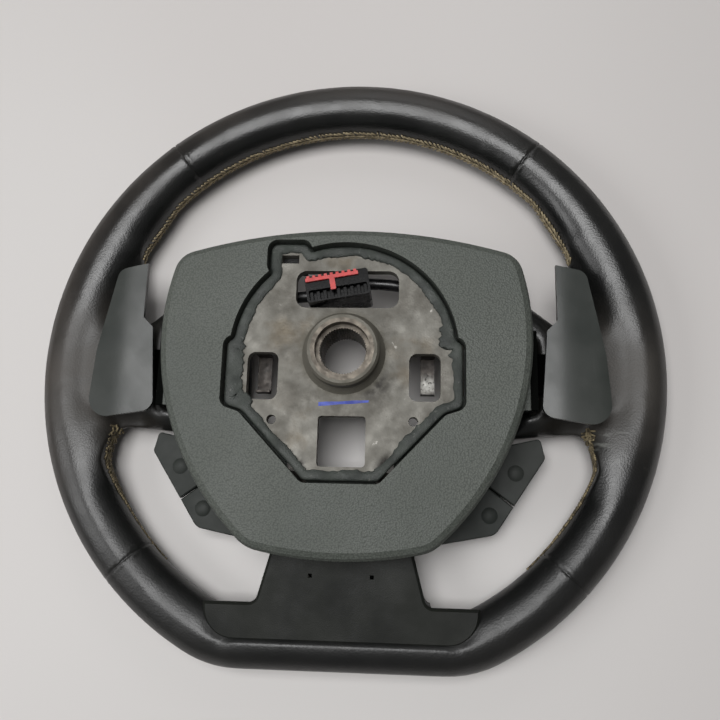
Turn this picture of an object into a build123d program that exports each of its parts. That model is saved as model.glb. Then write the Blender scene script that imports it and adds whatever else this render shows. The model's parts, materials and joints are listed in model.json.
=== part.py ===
from build123d import *
import math
import os

# Frame: millimetres, origin on the hub axis at the boss's rear face, +Z towards the steering column,
# +Y towards twelve o'clock. The wheel lies face down, so its rim rests below the origin.

# Rim
RIM_OUTER_R = 190.0
RIM_SECTION_D = 32.5
RIM_SECTION_SIDES = 12
RIM_FLAT_CUT = 14.5
RIM_FLAT_CORNER_R = 50.0
DISH = 52.0
CORE_WIDTH = 12.0
CORE_HEIGHT = 9.0
CORE_SIDES = 48
GLUE_GAP = 0.3
SEAM_UPPER_DEG = 50.8
SEAM_LOWER_DEG = -43.2
SEAM_WIDTH = 1.4
SEAM_DEPTH = 0.9

# Palm rests, where the leather runs from the rim on to the side spokes
PALM_REAR_RISE = 12.0
PALM_FRONT_DROP = 12.0
PALM_EDGE = 7.0
PALM_INNER_X = 98.0
PALM_TOP_Y = 46.0
PALM_WAIST_TOP_Y = 21.0
PALM_BOTTOM_Y = -42.0
PALM_BOTTOM_RISE = 4.5
PALM_WAIST_SHARE = 0.6
PALM_CORNER_SHARE = 0.15
PALM_UPPER_DEG = 42.0
PALM_LOWER_DEG = -22.0
PALM_SWELL = 3.0

# Hub plate and boss
PLATE_DROP = 12.0
PLATE_THICKNESS = 6.0
BOSS_R = 20.5
BOSS_CHAMFER = 1.2
BOSS_FOOT_R = 23.5
HUB_INSERT_R = 17.8
HUB_INSERT_SIDES = 16
HUB_LENGTH = 32.0
PILOT_R = 15.2
PILOT_LENGTH = 6.0
SPLINE_ROOT_R = 13.4
SPLINE_TIP_R = 12.6
SPLINE_COUNT = 54
HUB_OUTLINE_R = 64.5
HUB_EAR_X = 68.0
HUB_EAR_TOP_Y = 9.0
HUB_EAR_BOTTOM_Y = -31.0
HUB_WAIST_X = 57.0
HUB_WAIST_Y = -34.5
HUB_FOOT_X = 21.0
HUB_BOTTOM_Y = -72.5
HUB_CORNER_R = 6.0
HORN_X = -32.5
HORN_IN = 9.0
HORN_WIDTH = 26.0
HORN_HEIGHT = 21.0
SLOT_X = 1.0
SLOT_BOSS_GAP = 3.0
SLOT_EDGE = 3.2
SLOT_WIDTH = 59.0
SLOT_CORNER_R = 6.0
WINDOW_X = 45.5
WINDOW_Y = -13.3
WINDOW_WIDTH = 17.5
WINDOW_HEIGHT = 27.0
WINDOW_CORNER_R = 4.5
FOOT_WINDOW_Y = -49.4
FOOT_WINDOW_WIDTH = 26.5
FOOT_WINDOW_HEIGHT = 27.8
FOOT_WINDOW_CORNER_R = 2.0
PLATE_HOLE_X = 39.3
PLATE_HOLE_Y = -38.0
PLATE_HOLE_R = 2.65
HORN_SLOT_WIDTH = 10.0
HORN_SLOT_HEIGHT = 5.0

# Spokes of the casting
SPOKE_THICKNESS = 8.0
SIDE_SPOKE_WIDTH = 30.0
SIDE_SPOKE_Y = -8.0
SIDE_SPOKE_ROOT = 52.0
SIDE_SPOKE_BEND = 62.0
SIDE_SPOKE_KNEE = 86.0
FOOT_SPOKE_WIDTH = 10.0
FOOT_SPOKE_X = 24.0
FOOT_SPOKE_ROOT = 56.0
FOOT_SPOKE_BEND = 66.0
FOOT_SPOKE_KNEE = 92.0

# Foam flash left round the hub plate
FOAM_INSET = 1.6
FOAM_WALL = 4.6
FOAM_RISE = 1.6
FOAM_DEPTH = 10.0
FOAM_FLANGE = 4.0
FOAM_FLANGE_GAP = 1.0

# Rear cover
COVER_DROP = 7.5
COVER_WALL = 2.4
COVER_BEVEL_DOWN = 5.0
COVER_BEVEL_IN = 2.4
COVER_BEVEL_TOP = 2.2
COVER_TOP_MARGIN = 8.8
COVER_SHOULDER_X = 98.0
COVER_SHOULDER_Y = 58.0
COVER_SHOULDER_R = 15.0
COVER_SIDE_X = 105.3
COVER_SIDE_Y = 5.0
COVER_WAIST_X = 97.0
COVER_WAIST_Y = -38.0
COVER_FOOT_X = 50.0
COVER_FOOT_Y = -107.0
COVER_FOOT_R = 22.0
COVER_BOTTOM_Y = -113.0
COVER_LIP_WIDTH = 2.2
COVER_LIP_DEPTH = 8.0
COVER_LEDGE_X = 109.2
COVER_SEAT_GAP = 0.4
COVER_POST_R = 4.5
COVER_POST_Y = -97.5

# Lower spoke covers, rear and front
FOOT_COVER_TOP_Y = -104.0
FOOT_COVER_TOP_X = 39.0
FOOT_COVER_NECK_X = 48.0
FOOT_COVER_ARM_IN = 21.5
FOOT_COVER_ARM_X = 77.5
FOOT_COVER_BOTTOM_IN = 1.0
FOOT_COVER_CORNER_R = 18.0
FOOT_COVER_INNER_R = 5.0
FOOT_COVER_DROP = 37.0
FOOT_COVER_WALL = 2.4
FOOT_COVER_SKIRT = 17.0
FOOT_COVER_SKIRT_X = 50.5
FOOT_COVER_EDGE = 1.6
FOOT_COVER_GAP = 0.5
FOOT_HOLE_X = 17.4
FOOT_HOLE_Y = -122.4
FOOT_HOLE_SIZE = 2.2
FRONT_TRIM_DEPTH = 9.0
FRONT_TRIM_IN = 17.2

# Shift paddles
PADDLE_DROP = 25.0
PADDLE_THICKNESS = 3.0
PADDLE_CROWN_R = 95.0
PADDLE_CROWN_X = 130.0
PADDLE_INNER_X = 112.0
PADDLE_STEP_X = 116.0
PADDLE_STEP_Y = 18.0
PADDLE_UPPER_X = 121.8
PADDLE_TOP_Y = 57.5
PADDLE_TOP_OUTER_X = 139.0
PADDLE_TOP_OUTER_Y = 53.5
PADDLE_MID_X = 149.0
PADDLE_MID_Y = 4.0
PADDLE_OUTER_X = 152.0
PADDLE_HEEL_Y = -31.5
PADDLE_BOTTOM_Y = -38.3
PADDLE_CORNER_R = 7.0
PADDLE_BOTTOM_CORNER_R = 12.0
PIVOT_X = 104.0
PIVOT_DROP = 35.0
PIVOT_PIN_R = 1.5
PIVOT_RUNNING_GAP = 0.05
PIVOT_BARREL_R = 3.6
PIVOT_LOW_Y = -24.0
PIVOT_HIGH_Y = 12.0
PIVOT_END_GAP = 0.4
ARM_THICKNESS = 4.0
ARM_INSET = 6.0
ARM_RISER_X = 117.0
ARM_RISER_WIDTH = 5.0
BRACKET_EAR = 4.0
BRACKET_INNER_X = 89.0
BRACKET_OUTER_X = 107.5
BRACKET_FLOOR = 3.0
BRACKET_TOP_DROP = 26.0
BRACKET_POCKET_GAP = 1.0
PADDLE_SWITCH_LENGTH = 12.0
PADDLE_SWITCH_WIDTH = 6.0
PADDLE_SWITCH_REST_GAP = 1.2

# Finger keys and their housings
KEY_DROP = 49.0
KEY_DEPTH = 5.0
KEY_WALL = 1.6
KEY_EDGE = 0.6
KEY_SLIT = 1.0
KEY_TRAVEL = 1.0
KEY_TOP_X = 114.5
KEY_TOP_Y = -41.8
KEY_SHOULDER_X = 117.2
KEY_SHOULDER_Y = -53.5
KEY_ELBOW_X = 87.5
KEY_ELBOW_Y = -98.0
KEY_FOOT_X = 57.0
KEY_FOOT_Y = -104.0
KEY_INNER_FOOT_X = 55.0
KEY_INNER_FOOT_Y = -91.0
KEY_INNER_TOP_X = 90.0
KEY_INNER_TOP_Y = -47.5
KEY_SPLIT_X = 99.5
KEY_SPLIT_Y = -82.4
KEY_SPLIT_INNER_X = 79.0
KEY_SPLIT_INNER_Y = -67.2
KEY_ELBOW_R = 8.0
KEY_CORNER_R = 2.5
UPPER_BUMP_X = 99.8
UPPER_BUMP_Y = -62.4
LOWER_BUMP_X = 84.3
LOWER_BUMP_Y = -87.0
BUMP_R = 4.8
BUMP_SIDES = 18
BUMP_HEIGHT = 1.2
BUMP_TAPER_DEG = 55.0
STEM_SIZE = 5.0
STEM_GAP = 0.3
STEM_SHIFT = 8.0
HOUSING_INSET = 9.0
HOUSING_ROOF = 3.5
HOUSING_DEPTH = 10.0
HOUSING_WALL = 1.8
HOUSING_CLEARANCE = 0.3
HOUSING_LUG_X = 90.0
HOUSING_LUG_Y = -16.0
HOUSING_LUG_WIDTH = 14.0
HOUSING_LUG_THICKNESS = 3.0
MAT_THICKNESS = 1.5
BOARD_THICKNESS = 1.6

# Column plug in the slot and the looms behind the hub plate
PLUG_X = -4.0
PLUG_SLOT_GAP = 0.5
PLUG_TURN_DEG = 10.0
PLUG_WIDTH = 36.0
PLUG_DROP = 4.0
PLUG_LENGTH = 28.0
PLUG_EDGE = 1.0
PLUG_CAVITY_DEPTH = 6.0
PLUG_WALL = 1.4
LOCK_WIDTH = 30.0
LOCK_SHIFT = -2.5
LOCK_THICKNESS = 2.0
LOCK_RISE = 1.6
LOCK_TOOTH_COUNT = 9
LOCK_TOOTH_HEIGHT = 1.2
LOCK_TAB_WIDTH = 3.0
LOCK_TAB_LENGTH = 7.5
LOOM_D = 7.0
LOOM_SIDES = 10
LOOM_PLUG_EDGE = 0.5
LOOM_PLUG_SEAT = 2.0
RIGHT_LOOM_UP = 8.5
LEFT_LOOM_UP = 0.5
LOOM_TURN_X = 48.0
LOOM_SIDE_X = 62.0
LOOM_SIDE_Y = 16.0
LOOM_SIDE_DROP = 36.0
LOOM_LOW_Y = -34.0
LOOM_LOW_DROP = 52.0
LOOM_END_X = 80.0
LOOM_END_Y = -75.0

# Airbag retaining springs under the hub plate
SPRING_STRIP = 1.2
SPRING_WIDTH = 8.0
SPRING_X = 47.5
SPRING_FOOT_Y = 11.5
SPRING_HEEL_Y = 1.4
SPRING_HOOK_Y = -20.0
SPRING_DEPTH = 12.0
SPRING_HOOK_RISE = 6.0

# Worked out from the sizes above
RIM_Z = -DISH
RIM_SECTION_R = RIM_SECTION_D / 2
RIM_CENTRE_R = RIM_OUTER_R - RIM_SECTION_R
RIM_INNER_R = RIM_OUTER_R - RIM_SECTION_D
RIM_FLAT_CENTRE = RIM_CENTRE_R - RIM_FLAT_CUT
PALM_WAIST_X = PALM_INNER_X + PALM_WAIST_SHARE * (RIM_INNER_R - PALM_INNER_X)
PALM_CORNER_R = PALM_CORNER_SHARE * (RIM_INNER_R - PALM_INNER_X)
PLATE_Z = -PLATE_DROP
PLATE_FRONT_Z = PLATE_Z - PLATE_THICKNESS
PLATE_INSET = FOAM_INSET + FOAM_WALL
HORN_Y = HUB_OUTLINE_R - HORN_IN
SLOT_CORNER_X = abs(SLOT_X) + SLOT_WIDTH / 2 - SLOT_CORNER_R
SLOT_CORNER_REACH = HUB_OUTLINE_R - PLATE_INSET - SLOT_EDGE - SLOT_CORNER_R
SLOT_TOP_Y = math.sqrt(SLOT_CORNER_REACH ** 2 - SLOT_CORNER_X ** 2) + SLOT_CORNER_R
SLOT_BOTTOM_Y = BOSS_FOOT_R + SLOT_BOSS_GAP
SLOT_HEIGHT = SLOT_TOP_Y - SLOT_BOTTOM_Y
SLOT_Y = (SLOT_TOP_Y + SLOT_BOTTOM_Y) / 2
PLUG_TURN = math.radians(PLUG_TURN_DEG)
PLUG_HEIGHT = (SLOT_HEIGHT - 2 * PLUG_SLOT_GAP - PLUG_WIDTH * math.sin(PLUG_TURN)) / math.cos(PLUG_TURN)
RIGHT_LOOM_Y = SLOT_Y + RIGHT_LOOM_UP
LEFT_LOOM_Y = SLOT_Y + LEFT_LOOM_UP
RIGHT_LOOM_X = PLUG_WIDTH / 2 - LOOM_PLUG_SEAT + PLUG_X
LEFT_LOOM_X = PLUG_WIDTH / 2 - LOOM_PLUG_SEAT - PLUG_X
LOOM_DROP = PLUG_DROP + PLUG_LENGTH - LOOM_D / 2 - LOOM_PLUG_EDGE
SPOKE_REAR_Z = RIM_Z + SPOKE_THICKNESS / 2
SPOKE_FRONT_Z = RIM_Z - SPOKE_THICKNESS / 2
PALM_REAR_Z = RIM_Z + PALM_REAR_RISE
PALM_FRONT_Z = RIM_Z - PALM_FRONT_DROP
COVER_SEAT_Z = PALM_REAR_Z + COVER_SEAT_GAP
COVER_CEILING_Z = -COVER_DROP - COVER_WALL
COVER_LIP_Z = COVER_CEILING_Z - COVER_LIP_DEPTH
COVER_TOP_Y = HUB_OUTLINE_R + COVER_TOP_MARGIN
FOOT_COVER_Z = -FOOT_COVER_DROP
FOOT_COVER_ARM_Y = FOOT_COVER_ARM_IN - RIM_FLAT_CENTRE
FOOT_COVER_BOTTOM_Y = FOOT_COVER_BOTTOM_IN - RIM_FLAT_CENTRE
FRONT_TRIM_Y = FRONT_TRIM_IN - RIM_FLAT_CENTRE
PIVOT_Z = -PIVOT_DROP
BRACKET_POCKET_Y = (PIVOT_LOW_Y - BRACKET_EAR - BRACKET_POCKET_GAP,
                    PIVOT_HIGH_Y + BRACKET_EAR + BRACKET_POCKET_GAP)
KEY_Z = -KEY_DROP
KEY_FRONT_Z = KEY_Z - KEY_DEPTH
HOUSING_TOP_Z = KEY_FRONT_Z - KEY_TRAVEL - HOUSING_CLEARANCE
HOUSING_FRONT_Z = HOUSING_TOP_Z - HOUSING_DEPTH
FAR = 4 * RIM_OUTER_R


def slab(sketch, low, high):
    """The sketch raised between two heights."""
    return extrude(Pos(0, 0, low) * sketch, high - low)


def box(x, y, z):
    """A box from three spans."""
    size = (x[1] - x[0], y[1] - y[0], z[1] - z[0])
    return Pos((x[0] + x[1]) / 2, (y[0] + y[1]) / 2, (z[0] + z[1]) / 2) * Box(*size)


def other_side(shape):
    """The left-hand twin of a right-hand piece."""
    return mirror(shape, about=Plane.YZ)


def both_sides(shape):
    return shape + other_side(shape)


def rounded(face, corners, radius):
    """Rounds the face's corners nearest to the points given."""
    picked = [min(face.vertices(), key=lambda v: (v.X - x) ** 2 + (v.Y - y) ** 2)
              for x, y in corners]
    return fillet(picked, radius)


def core_ring(grow):
    """The rim's metal core, a ring of short straight runs, grown all round by the amount given."""
    half_width = CORE_WIDTH / 2 + grow
    half_height = CORE_HEIGHT / 2 + grow
    plans = []
    for side in (half_width, -half_width):
        below = Pos(0, -RIM_FLAT_CENTRE - side - FAR / 2) * Rectangle(FAR, FAR)
        plans.append(RegularPolygon(RIM_CENTRE_R + side, CORE_SIDES) - below)
    return slab(plans[0] - plans[1], RIM_Z - half_height, RIM_Z + half_height)


def rim_tube(radius):
    """A near-round tube that follows the rim: the long arc, two corners and the flat."""
    section = RegularPolygon(radius, RIM_SECTION_SIDES)
    corner_y = RIM_FLAT_CORNER_R - RIM_FLAT_CENTRE
    corner_x = math.sqrt((RIM_CENTRE_R - RIM_FLAT_CORNER_R) ** 2 - corner_y ** 2)
    turn = math.degrees(math.atan2(corner_x, -corner_y))
    long_arc = revolve(Plane.XZ * Pos(RIM_CENTRE_R, RIM_Z) * section, Axis.Z, 360 - 2 * turn)
    corner = revolve(Plane.XZ * Pos(RIM_FLAT_CORNER_R, RIM_Z) * section, Axis.Z, turn)
    corner = Pos(corner_x, corner_y, 0) * Rot(0, 0, -90) * corner
    flat = extrude(Plane.YZ * Pos(-RIM_FLAT_CENTRE, RIM_Z) * section, corner_x, both=True)
    return Rot(0, 0, turn - 90) * long_arc + both_sides(corner) + flat


def seam_groove(degrees):
    """The shallow groove where two leather panels are sewn end to end."""
    ring = RegularPolygon(RIM_SECTION_D, RIM_SECTION_SIDES)
    ring -= RegularPolygon(RIM_SECTION_R - SEAM_DEPTH, RIM_SECTION_SIDES)
    sweep_deg = math.degrees(SEAM_WIDTH / RIM_CENTRE_R)
    groove = revolve(Plane.XZ * Pos(RIM_CENTRE_R, RIM_Z) * ring, Axis.Z, sweep_deg)
    return Rot(0, 0, degrees - sweep_deg / 2) * groove


def on_rim(radius, degrees):
    """A point in plan at that radius and angle."""
    return (radius * math.cos(math.radians(degrees)), radius * math.sin(math.radians(degrees)))


def palm_rest():
    """The right-hand web of leather from the rim to under the rear cover."""
    swell = on_rim(RIM_INNER_R - PALM_SWELL, PALM_UPPER_DEG * 2 / 3)
    waist = (PALM_WAIST_X, PALM_WAIST_TOP_Y)
    lower = on_rim(RIM_INNER_R - PALM_SWELL / 2, PALM_LOWER_DEG * 2 / 3)
    points = [
        on_rim(RIM_CENTRE_R, PALM_UPPER_DEG),
        on_rim(RIM_INNER_R, PALM_UPPER_DEG),
        swell,
        waist,
        (PALM_INNER_X, PALM_TOP_Y),
        (PALM_INNER_X, PALM_BOTTOM_Y),
        (lower[0] - PALM_CORNER_R, PALM_BOTTOM_Y + PALM_BOTTOM_RISE),
        on_rim(RIM_INNER_R, PALM_LOWER_DEG),
        on_rim(RIM_CENTRE_R, PALM_LOWER_DEG),
        on_rim(RIM_CENTRE_R, 0),
    ]
    face = make_face(Polyline(*points, close=True))
    face = rounded(face, [waist], PALM_CORNER_R / 2)
    face = rounded(face, [points[6]], PALM_CORNER_R)
    face = rounded(face, [swell], 2 * PALM_CORNER_R)
    web = slab(face, PALM_FRONT_Z, PALM_REAR_Z)
    flat_edges = web.edges().group_by(Axis.Z)
    free = [edge for edge in flat_edges[0] + flat_edges[-1]
            if min(math.hypot(end.X, end.Y) for end in edge.vertices()) < RIM_INNER_R - GLUE_GAP]
    return chamfer(free, PALM_EDGE)


def spoke_profile(root, bend, knee, end, grow):
    """A dished arm seen from its side: level at the hub plate, down a slope, level at the rim."""
    rear = PLATE_Z + grow
    front = PLATE_FRONT_Z - grow
    return Polyline(
        (root, rear), (bend + grow, rear), (knee + grow, SPOKE_REAR_Z + grow), (end, SPOKE_REAR_Z + grow),
        (end, SPOKE_FRONT_Z - grow), (knee - SPOKE_THICKNESS / 2 - grow, SPOKE_FRONT_Z - grow),
        (bend - SPOKE_THICKNESS / 2 - grow, front), (root, front), close=True)


def side_spoke(grow=0.0):
    """The right-hand arm of the casting."""
    profile = spoke_profile(SIDE_SPOKE_ROOT, SIDE_SPOKE_BEND, SIDE_SPOKE_KNEE, RIM_CENTRE_R, grow)
    face = make_face(Plane.XZ * profile)
    half = SIDE_SPOKE_WIDTH / 2 + grow
    return Pos(0, SIDE_SPOKE_Y, 0) * extrude(face, half, both=True)


def foot_spoke(grow=0.0):
    """The right-hand one of the two narrow arms towards six o'clock."""
    profile = spoke_profile(FOOT_SPOKE_ROOT, FOOT_SPOKE_BEND, FOOT_SPOKE_KNEE, RIM_FLAT_CENTRE, grow)
    face = make_face(Plane((0, 0, 0), x_dir=(0, -1, 0), z_dir=(-1, 0, 0)) * profile)
    half = FOOT_SPOKE_WIDTH / 2 + grow
    return Pos(FOOT_SPOKE_X, 0, 0) * extrude(face, half, both=True)


def hub_outline(inset=0.0):
    """The opening in the rear cover, which the foam and the hub plate follow further in."""
    shield = make_face(Polyline(
        (HUB_EAR_X, HUB_EAR_TOP_Y), (HUB_EAR_X, HUB_EAR_BOTTOM_Y), (HUB_WAIST_X, HUB_WAIST_Y),
        (HUB_FOOT_X, HUB_BOTTOM_Y), (-HUB_FOOT_X, HUB_BOTTOM_Y), (-HUB_WAIST_X, HUB_WAIST_Y),
        (-HUB_EAR_X, HUB_EAR_BOTTOM_Y), (-HUB_EAR_X, HUB_EAR_TOP_Y), close=True))
    shield = fillet(shield.vertices(), HUB_CORNER_R)
    dome = Circle(HUB_OUTLINE_R) - Pos(0, -FAR / 2 + HUB_WAIST_Y) * Rectangle(FAR, FAR)
    horn = Pos(HORN_X, HORN_Y) * RectangleRounded(HORN_WIDTH, HORN_HEIGHT, HUB_CORNER_R)
    face = shield + dome + horn
    return offset(face, -inset) if inset else face


def hub_windows():
    """All the openings cast through the hub plate."""
    slot = Pos(SLOT_X, SLOT_Y) * RectangleRounded(SLOT_WIDTH, SLOT_HEIGHT, SLOT_CORNER_R)
    window = Pos(WINDOW_X, WINDOW_Y) * RectangleRounded(WINDOW_WIDTH, WINDOW_HEIGHT, WINDOW_CORNER_R)
    foot = Pos(0, FOOT_WINDOW_Y) * RectangleRounded(
        FOOT_WINDOW_WIDTH, FOOT_WINDOW_HEIGHT, FOOT_WINDOW_CORNER_R)
    hole = Pos(PLATE_HOLE_X, PLATE_HOLE_Y) * Circle(PLATE_HOLE_R)
    horn = Pos(HORN_X, HORN_Y) * Rectangle(HORN_SLOT_WIDTH, HORN_SLOT_HEIGHT)
    return slot + both_sides(window) + foot + both_sides(hole) + horn


def armature():
    """One casting: hub plate, boss collar and four arms, whose ends are welded to the rim's core."""
    outline = hub_outline(PLATE_INSET)
    plate = slab(outline - hub_windows(), PLATE_FRONT_Z, PLATE_Z)
    collar = revolve(Plane.XZ * make_face(Polyline(
        (0, 0), (BOSS_R - BOSS_CHAMFER, 0), (BOSS_R, -BOSS_CHAMFER),
        (BOSS_R, PLATE_Z + BOSS_FOOT_R - BOSS_R), (BOSS_FOOT_R, PLATE_Z), (BOSS_R, PLATE_FRONT_Z),
        (BOSS_R, -HUB_LENGTH), (0, -HUB_LENGTH), close=True)), Axis.Z)
    arms = both_sides(side_spoke()) + both_sides(foot_spoke())
    cast = plate + collar + arms - core_ring(0)
    cast -= slab(hub_windows(), -FAR, FAR)
    return cast - slab(RegularPolygon(HUB_INSERT_R, HUB_INSERT_SIDES), -FAR, FAR)


def splined_hub():
    """The steel insert, flat-sided so that it can't turn: a pilot at the rear, then serrations."""
    step = 180 / SPLINE_COUNT
    points = [on_rim((SPLINE_ROOT_R, SPLINE_TIP_R)[i % 2], i * step) for i in range(2 * SPLINE_COUNT)]
    serrated = make_face(Polyline(*points, close=True))
    body = slab(RegularPolygon(HUB_INSERT_R, HUB_INSERT_SIDES) - serrated, -HUB_LENGTH, 0)
    return body - Cylinder(PILOT_R, 2 * PILOT_LENGTH)


def hub_foam():
    """Foam moulded round the hub plate's edge, standing a little proud of its rear face."""
    outside = hub_outline(FOAM_INSET)
    inside = hub_outline(PLATE_INSET)
    low = PLATE_Z - FOAM_DEPTH
    wall = slab(outside - inside, low, PLATE_Z + FOAM_RISE)
    flange = hub_outline(-FOAM_FLANGE) & cover_outline(COVER_WALL + FOAM_FLANGE_GAP)
    wall += slab(flange - inside, low, COVER_LIP_Z - FOAM_FLANGE_GAP)
    pad = Rectangle(HORN_SLOT_WIDTH + 2 * FOAM_WALL, HORN_SLOT_HEIGHT + 2 * FOAM_WALL)
    wall += slab(Pos(HORN_X, HORN_Y) * pad, low, PLATE_FRONT_Z)
    arms = both_sides(side_spoke(GLUE_GAP)) + both_sides(foot_spoke(GLUE_GAP))
    return wall - arms


def foot_cover_outline(grow=0.0):
    """The lower spoke cover in plan: a neck that spreads into two arms along the rim."""
    right = [
        (FOOT_COVER_TOP_X, FOOT_COVER_TOP_Y), (FOOT_COVER_NECK_X, FOOT_COVER_ARM_Y),
        (FOOT_COVER_ARM_X, FOOT_COVER_ARM_Y), (FOOT_COVER_ARM_X, FOOT_COVER_BOTTOM_Y)]
    left = [(-x, y) for x, y in reversed(right)]
    face = make_face(Polyline(*right, *left, close=True))
    face = rounded(face, [right[1], left[2]], FOOT_COVER_INNER_R)
    face = rounded(face, [right[3], left[0]], FOOT_COVER_CORNER_R)
    return offset(face, grow) if grow else face


def leather_rim():
    """The sewn leather sleeve with its foam, round the rim and out over both side spokes."""
    shape = rim_tube(RIM_SECTION_R) + both_sides(palm_rest())
    shape -= core_ring(GLUE_GAP)
    shape -= both_sides(side_spoke(GLUE_GAP)) + both_sides(foot_spoke(GLUE_GAP))
    pocket = box((0, BRACKET_OUTER_X + ARM_INSET), BRACKET_POCKET_Y, (SPOKE_REAR_Z, 0))
    shape -= both_sides(pocket)
    shape -= slab(foot_cover_outline(FOOT_COVER_GAP), FOOT_COVER_Z - FOOT_COVER_WALL - FOOT_COVER_GAP, 0)
    for degrees in (SEAM_UPPER_DEG, SEAM_LOWER_DEG, 180 - SEAM_UPPER_DEG, 180 - SEAM_LOWER_DEG):
        shape -= seam_groove(degrees)
    return shape


def cover_outline(inset):
    """The rear cover in plan, set in by the amount given."""
    shoulder = (COVER_SHOULDER_X, COVER_SHOULDER_Y)
    waist = (COVER_WAIST_X, COVER_WAIST_Y)
    foot = (COVER_FOOT_X, COVER_FOOT_Y)
    top = ThreePointArc((-COVER_SHOULDER_X, COVER_SHOULDER_Y), (0, COVER_TOP_Y), shoulder)
    side = ThreePointArc(shoulder, (COVER_SIDE_X, COVER_SIDE_Y), waist)
    lower = TangentArc(waist, foot, tangent=side % 1)
    bottom = ThreePointArc(foot, (0, COVER_BOTTOM_Y), (-COVER_FOOT_X, COVER_FOOT_Y))
    left = [ThreePointArc(*[(-(arc @ t).X, (arc @ t).Y) for t in (1, 0.5, 0)]) for arc in (lower, side)]
    face = make_face(Wire([edge for line in (top, side, lower, bottom, *left) for edge in line.edges()]))
    face = offset(face, -inset) if inset else face
    for (x, y), radius in ((shoulder, COVER_SHOULDER_R), (foot, COVER_FOOT_R)):
        face = rounded(face, [(x, y), (-x, y)], radius - inset)
    return face


def cover_posts():
    """The two screw posts that stand on the narrow arms."""
    plan = Pos(FOOT_SPOKE_X, COVER_POST_Y) * Circle(COVER_POST_R)
    return both_sides(slab(plan, SPOKE_REAR_Z, COVER_CEILING_Z))


def rear_cover():
    """The grained shell over the back of the hub."""
    block = slab(cover_outline(0), COVER_SEAT_Z, -COVER_DROP)
    rim = block.edges().group_by(Axis.Z)[-1]
    block = chamfer(rim, COVER_BEVEL_IN, COVER_BEVEL_DOWN, reference=block.faces().sort_by(Axis.Z)[-1])
    block = chamfer(block.edges().group_by(Axis.Z)[-1], COVER_BEVEL_TOP)
    hollow = slab(cover_outline(COVER_WALL), COVER_SEAT_Z, COVER_CEILING_Z)
    collar = slab(hub_outline(-COVER_LIP_WIDTH) - hub_outline(), COVER_LIP_Z, COVER_CEILING_Z)
    arms = both_sides(side_spoke(COVER_SEAT_GAP)) + both_sides(foot_spoke(COVER_SEAT_GAP))
    shell = block - hollow + (collar - arms) + cover_posts() - slab(hub_outline(), -FAR, FAR)
    ledge_z = -BRACKET_TOP_DROP + BRACKET_POCKET_GAP
    slot = box((COVER_SHOULDER_X - COVER_WALL * 4, FAR), BRACKET_POCKET_Y, (-FAR, ledge_z))
    ledge = box((COVER_WAIST_X - COVER_WALL, COVER_LEDGE_X), BRACKET_POCKET_Y,
                (ledge_z, ledge_z + COVER_WALL))
    shell = shell - both_sides(slot) + both_sides(ledge)
    foot = offset(foot_cover_outline(), FOOT_COVER_GAP)
    return shell - slab(foot, -FAR, FOOT_COVER_Z + FOOT_COVER_GAP)


def foot_cover():
    """The rear half of the lower spoke cover."""
    deck = FOOT_COVER_Z - FOOT_COVER_WALL
    tray = slab(foot_cover_outline(), FOOT_COVER_Z - FOOT_COVER_SKIRT, FOOT_COVER_Z)
    tray = chamfer(tray.edges().group_by(Axis.Z)[-1], FOOT_COVER_EDGE)
    tray -= slab(foot_cover_outline(-FOOT_COVER_WALL), -FAR, deck)
    tray -= box((-FAR, FAR), (-FAR, FOOT_COVER_ARM_Y - FOOT_COVER_WALL), (-FAR, deck))
    tray -= box((-FOOT_COVER_TOP_X, FOOT_COVER_TOP_X), (FOOT_COVER_TOP_Y - FOOT_COVER_WALL, 0), (-FAR, deck))
    tray -= both_sides(box((FOOT_COVER_SKIRT_X, FAR), (-FAR, 0), (-FAR, deck)))
    holes = both_sides(Pos(FOOT_HOLE_X, FOOT_HOLE_Y) * Rectangle(FOOT_HOLE_SIZE, FOOT_HOLE_SIZE))
    return tray - slab(holes, -FAR, 0)


def front_trim():
    """The front half of the lower spoke cover, which stops short of the rim."""
    top = FOOT_COVER_Z - FOOT_COVER_SKIRT - FOOT_COVER_GAP
    floor = top - FRONT_TRIM_DEPTH
    plan = foot_cover_outline() & box((-FOOT_COVER_SKIRT_X, FOOT_COVER_SKIRT_X), (FRONT_TRIM_Y, 0), (-1, 1))
    tray = slab(plan, floor, top)
    tray = chamfer(tray.edges().group_by(Axis.Z)[0], FOOT_COVER_EDGE)
    tray -= slab(offset(plan, -FOOT_COVER_WALL), floor + FOOT_COVER_WALL, FAR)
    return tray - both_sides(foot_spoke(FOOT_COVER_GAP))


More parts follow.
